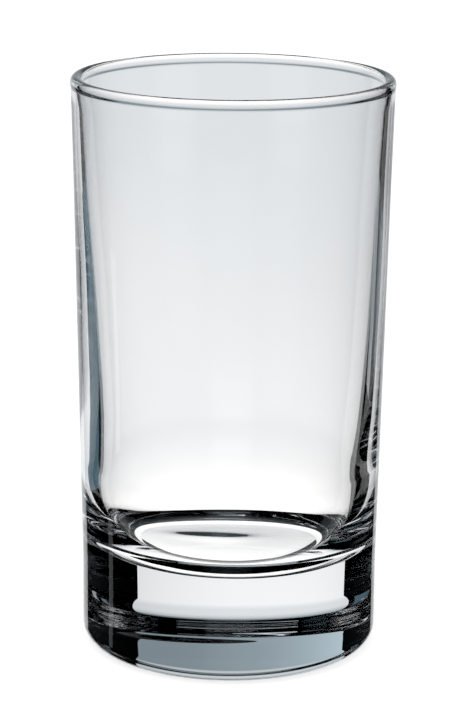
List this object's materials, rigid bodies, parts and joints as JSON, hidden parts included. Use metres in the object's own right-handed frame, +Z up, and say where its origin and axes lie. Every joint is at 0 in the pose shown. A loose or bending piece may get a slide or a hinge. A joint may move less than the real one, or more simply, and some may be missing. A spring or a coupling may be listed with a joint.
{
  "type": "soda glass",
  "caption": "Slim clear tumbler with a heavy solid base, a round floor corner, a wall that thins upwards and a fire-polished lip, for soda and other cold drinks.",
  "frame": {"origin": "middle of the plane that the glass stands on, on its axis", "axes": "+Z up along the glass's axis, towards the mouth; X and Y are alike, because the glass is round"},
  "size_m": [0.0644, 0.0644, 0.117],
  "materials": {
    "clear_glass": "clear soda-lime glass, fire-polished and smooth, with faint mould waviness"
  },
  "bodies": {
    "root": {"tumbler": "clear_glass"}
  },
  "joints": []
}
